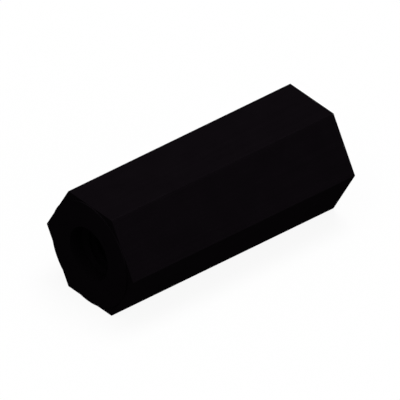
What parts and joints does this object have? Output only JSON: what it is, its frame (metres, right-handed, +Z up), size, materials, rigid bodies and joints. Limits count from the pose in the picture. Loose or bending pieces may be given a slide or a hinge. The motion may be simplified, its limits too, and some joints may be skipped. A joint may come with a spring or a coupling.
{
  "type": "hex standoff",
  "caption": "Short hexagonal spacer in black nylon with a thread right through it and a thin round bearing face on one end.",
  "frame": {"origin": "on the surface that the standoff lies on, under the middle of its length and width", "axes": "+X along the thread's axis from the end with the round bearing face to the plain end, +Y across the flats' corners, +Z up from the flat that it lies on"},
  "size_m": [0.015, 0.007, 0.006],
  "materials": {
    "black_nylon": "matte"
  },
  "bodies": {
    "root": {"hex_standoff": "black_nylon"}
  },
  "joints": []
}
